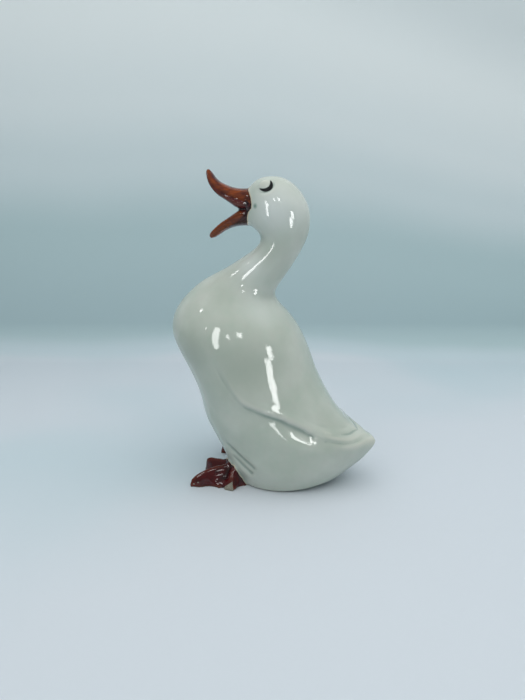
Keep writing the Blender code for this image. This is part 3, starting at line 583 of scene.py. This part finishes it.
brown = node(tree, "ShaderNodeMix", {"data_type": "RGBA"}, i0=rim.outputs[0],
             i6=brown.outputs[2], i7=srgb("1E0B0E"))
is_brown = node(tree, "ShaderNodeMapRange", {"interpolation_type": "SMOOTHSTEP"},
                Value=painted.outputs[0], From_Min=-0.25, From_Max=0.30)
colour = node(tree, "ShaderNodeMix", {"data_type": "RGBA"}, i0=is_brown.outputs[0],
              i6=colour.outputs[2], i7=brown.outputs[2])
is_black = node(tree, "ShaderNodeMapRange", {"interpolation_type": "SMOOTHSTEP"},
                Value=eye, From_Min=-0.22, From_Max=0.18)
colour = node(tree, "ShaderNodeMix", {"data_type": "RGBA"}, i0=is_black.outputs[0],
              i6=colour.outputs[2], i7=srgb("06070B"))

# Biscuit: a grain of 0.8 mm, and dust in it
grain = node(tree, "ShaderNodeTexNoise", Vector=place, Scale=1200.0, Detail=4.0, Roughness=0.7)
biscuit = node(tree, "ShaderNodeValToRGB", Fac=grain.outputs["Fac"])
biscuit.color_ramp.elements[0].position = 0.30
biscuit.color_ramp.elements[0].color = srgb("706B5E")
biscuit.color_ramp.elements[1].position = 0.62
biscuit.color_ramp.elements[1].color = srgb("9B978A")
is_bare = node(tree, "ShaderNodeMapRange", {"interpolation_type": "SMOOTHSTEP"},
               Value=bare, From_Min=-0.10, From_Max=0.15)
colour = node(tree, "ShaderNodeMix", {"data_type": "RGBA"}, i0=is_bare.outputs[0],
              i6=colour.outputs[2], i7=biscuit.outputs["Color"])
tree.links.new(colour.outputs[2], shader.inputs["Base Color"])

# Gloss: wet over the glaze with faint dull patches of 12 mm, dry on the biscuit
dull = node(tree, "ShaderNodeTexNoise", Vector=place, Scale=83.0, Detail=2.0, Roughness=0.5)
dull = node(tree, "ShaderNodeMapRange", Value=dull.outputs["Fac"], From_Min=0.35, From_Max=0.75,
            To_Min=0.045, To_Max=0.10)
rough = node(tree, "ShaderNodeMix", {"data_type": "FLOAT"}, i0=on_foot.outputs[0],
             i2=dull.outputs[0], i3=0.10)
rough = node(tree, "ShaderNodeMix", {"data_type": "FLOAT"}, i0=is_bare.outputs[0],
             i2=rough.outputs[0], i3=0.85)
rough = node(tree, "ShaderNodeMix", {"data_type": "FLOAT"}, i0=is_black.outputs[0],
             i2=rough.outputs[0], i3=0.80)
tree.links.new(rough.outputs[0], shader.inputs["Roughness"])
shader.inputs["IOR"].default_value = 1.46

# Relief: the glaze lies in slow waves of 14 mm, with an orange peel of 2 mm, and the biscuit is grainy
waves = node(tree, "ShaderNodeTexNoise", Vector=place, Scale=70.0, Detail=1.0, Roughness=0.4)
peel = node(tree, "ShaderNodeTexNoise", Vector=place, Scale=500.0, Detail=1.0, Roughness=0.4)
peel = node(tree, "ShaderNodeMath", {"operation": "MULTIPLY"}, i0=peel.outputs["Fac"], i1=0.02)
lie = node(tree, "ShaderNodeMath", {"operation": "ADD"}, i0=waves.outputs["Fac"], i1=peel.outputs[0])
lie = node(tree, "ShaderNodeBump", Height=lie.outputs[0], Strength=1.0, Distance=0.00027)
gritty = node(tree, "ShaderNodeBump", Height=grain.outputs["Fac"], Strength=is_bare.outputs[0],
              Distance=0.0003, Normal=lie.outputs[0])
tree.links.new(gritty.outputs[0], shader.inputs["Normal"])

casting.data.materials.clear()
casting.data.materials.append(glaze)
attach(casting, "root")
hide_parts("duck_figurine")

# The table and backdrop: one sheet of matt board, laid flat and swept up behind the duck in a short
# bend. Its colour carries a pale, cool window light as painted light: painted shade darkens the foot of
# the upright part, and the board is painted lighter higher up, sooner towards the right.
BEHIND = 0.375
BEND = 0.05
BOARD_TOP = 1.6
BOARD_NEAR = 2.0
BOARD_WIDTH = 5.0
FLAT_STEPS = 2
BEND_STEPS = 30
UPRIGHT_STEPS = 8
steps = FLAT_STEPS + BEND_STEPS + UPRIGHT_STEPS
look = Vector((CAMERA_AIM[0], CAMERA_AIM[1], 0.0)).normalized()
bpy.ops.mesh.primitive_grid_add(x_subdivisions=1, y_subdivisions=steps, size=1.0)
floor = bpy.context.object
floor.name = "floor"
points = coordinates(floor)
share = (points[:, 1] + 0.5) * steps
turn = np.clip((share - FLAT_STEPS) / BEND_STEPS, 0, 1) * math.pi / 2
flat_part = -BOARD_NEAR + (BOARD_NEAR + BEHIND - BEND) * share / FLAT_STEPS
reach = np.where(share < FLAT_STEPS, flat_part, BEHIND - BEND + BEND * np.sin(turn))
upright = np.maximum(share - FLAT_STEPS - BEND_STEPS, 0)
height = BEND * (1 - np.cos(turn)) + (BOARD_TOP - BEND) * upright / UPRIGHT_STEPS
sideways = Vector((look.y, -look.x, 0.0))
points = np.outer(reach, look) + np.outer(points[:, 0] * BOARD_WIDTH, sideways)
points[:, 2] = height
place_points(floor, points)
floor.data.shade_smooth()
board = bpy.data.materials.new("matt_board")
board.use_nodes = True
tree = board.node_tree
shader = tree.nodes["Principled BSDF"]
shader.inputs["Roughness"].default_value = 0.9
place = node(tree, "ShaderNodeTexCoord").outputs["Object"]
patches = node(tree, "ShaderNodeTexNoise", Vector=place, Scale=2.4, Detail=2.0, Roughness=0.5)
split = node(tree, "ShaderNodeSeparateXYZ", Vector=place)
shifted = node(tree, "ShaderNodeMath", {"operation": "MULTIPLY_ADD"}, i0=patches.outputs["Fac"],
               i1=0.06, i2=-0.03)
to_right = node(tree, "ShaderNodeVectorMath", {"operation": "DOT_PRODUCT"}, i0=place, i1=tuple(sideways))
to_right = node(tree, "ShaderNodeMath", {"operation": "MAXIMUM"}, i0=to_right.outputs["Value"], i1=0.0)
lift = node(tree, "ShaderNodeMath", {"operation": "MULTIPLY_ADD"}, i0=to_right.outputs[0],
            i1=1.0, i2=1.0)
level = node(tree, "ShaderNodeMath", {"operation": "MULTIPLY_ADD"}, i0=split.outputs["Z"],
             i1=lift.outputs[0], i2=shifted.outputs[0])
shade = node(tree, "ShaderNodeValToRGB", Fac=level.outputs[0])
shade.color_ramp.interpolation = "EASE"
shade.color_ramp.elements[0].position = 0.0
shade.color_ramp.elements[0].color = srgb("D4DAE2")
shade.color_ramp.elements[1].position = 0.60
shade.color_ramp.elements[1].color = srgb("DAE1E4")
for position, colour in (
        (0.012, "C8D6DE"), (0.035, "B9CDD2"), (0.18, "C0D4D8"), (0.28, "DAE5E9"),
        (0.36, "E6EDF0"), (0.46, "ECF1F3")):
    stop = shade.color_ramp.elements.new(position)
    stop.color = srgb(colour)
tree.links.new(shade.outputs["Color"], shader.inputs["Base Color"])
floor.data.materials.append(board)

# The light: a pale sky all round, a wide soft light above that the gloss doesn't show, and panes
# that only the gloss sees, where the highlights of the wing, neck, breast, beak and feet come from.
# The panes of the wing, the neck, the beak and the feet stand near the duck, so they show large.
world = bpy.data.worlds.new("world")
bpy.context.scene.world = world
world.use_nodes = True
tree = world.node_tree
way = node(tree, "ShaderNodeTexCoord").outputs["Generated"]
split = node(tree, "ShaderNodeSeparateXYZ", Vector=way)
level = node(tree, "ShaderNodeMapRange", Value=split.outputs["Z"], From_Min=-1.0, From_Max=1.0)
sky = node(tree, "ShaderNodeValToRGB", Fac=level.outputs[0])
sky.color_ramp.elements[0].position = 0.0
sky.color_ramp.elements[0].color = srgb("A6B4B2")
sky.color_ramp.elements[1].position = 1.0
sky.color_ramp.elements[1].color = srgb("C4CCCB")
for position, colour in ((0.48, "96A6A3"), (0.62, "A9B7B3")):
    stop = sky.color_ramp.elements.new(position)
    stop.color = srgb(colour)
tree.links.new(sky.outputs["Color"], tree.nodes["Background"].inputs["Color"])
tree.nodes["Background"].inputs["Strength"].default_value = 0.66


PANES_FACE = Vector((0.0, 0.0, 0.10))


def window(name, around, above, far, wide, tall, radiance, gloss_only=True):
    """A rectangle of light, facing the duck, placed by its bearing and height in degrees."""
    lamp = bpy.data.lights.new(name, "AREA")
    lamp.shape = "RECTANGLE"
    lamp.size = wide
    lamp.size_y = tall
    lamp.energy = radiance * math.pi * wide * tall
    thing = bpy.data.objects.new(name, lamp)
    turn, lift = math.radians(around), math.radians(above)
    way = Vector((math.cos(turn) * math.cos(lift), math.sin(turn) * math.cos(lift), math.sin(lift)))
    thing.location = PANES_FACE + far * way
    thing.rotation_euler = (-way).to_track_quat("-Z", "Y").to_euler()
    thing.visible_diffuse = not gloss_only
    thing.visible_camera = False
    bpy.context.scene.collection.objects.link(thing)
    return thing


roof = window("roof", 60, 78, 0.80, 1.7, 1.7, 1.20, gloss_only=False)
roof.visible_glossy = False
roof.rotation_euler = (0.0, 0.0, 0.0)
window("wing_window", 50, 22, 0.277, 0.040, 0.060, 15.0)
window("wing_sill", 43, 10, 0.281, 0.050, 0.052, 15.0)
window("neck_window", -25, 22, 0.283, 0.036, 0.155, 12.0)
window("breast_window", -66, 45, 1.2, 0.10, 0.12, 13.0)
window("middle_pane", -3, 31, 1.2, 0.10, 0.12, 13.0)
window("right_pane", 16, 38, 1.2, 0.13, 0.13, 13.0)
window("low_window", 23, -12, 0.20, 0.036, 0.012, 11.0)
window("beak_window", -40, 31, 0.32, 0.007, 0.016, 11.0)

bpy.context.scene.view_settings.view_transform = "Standard"
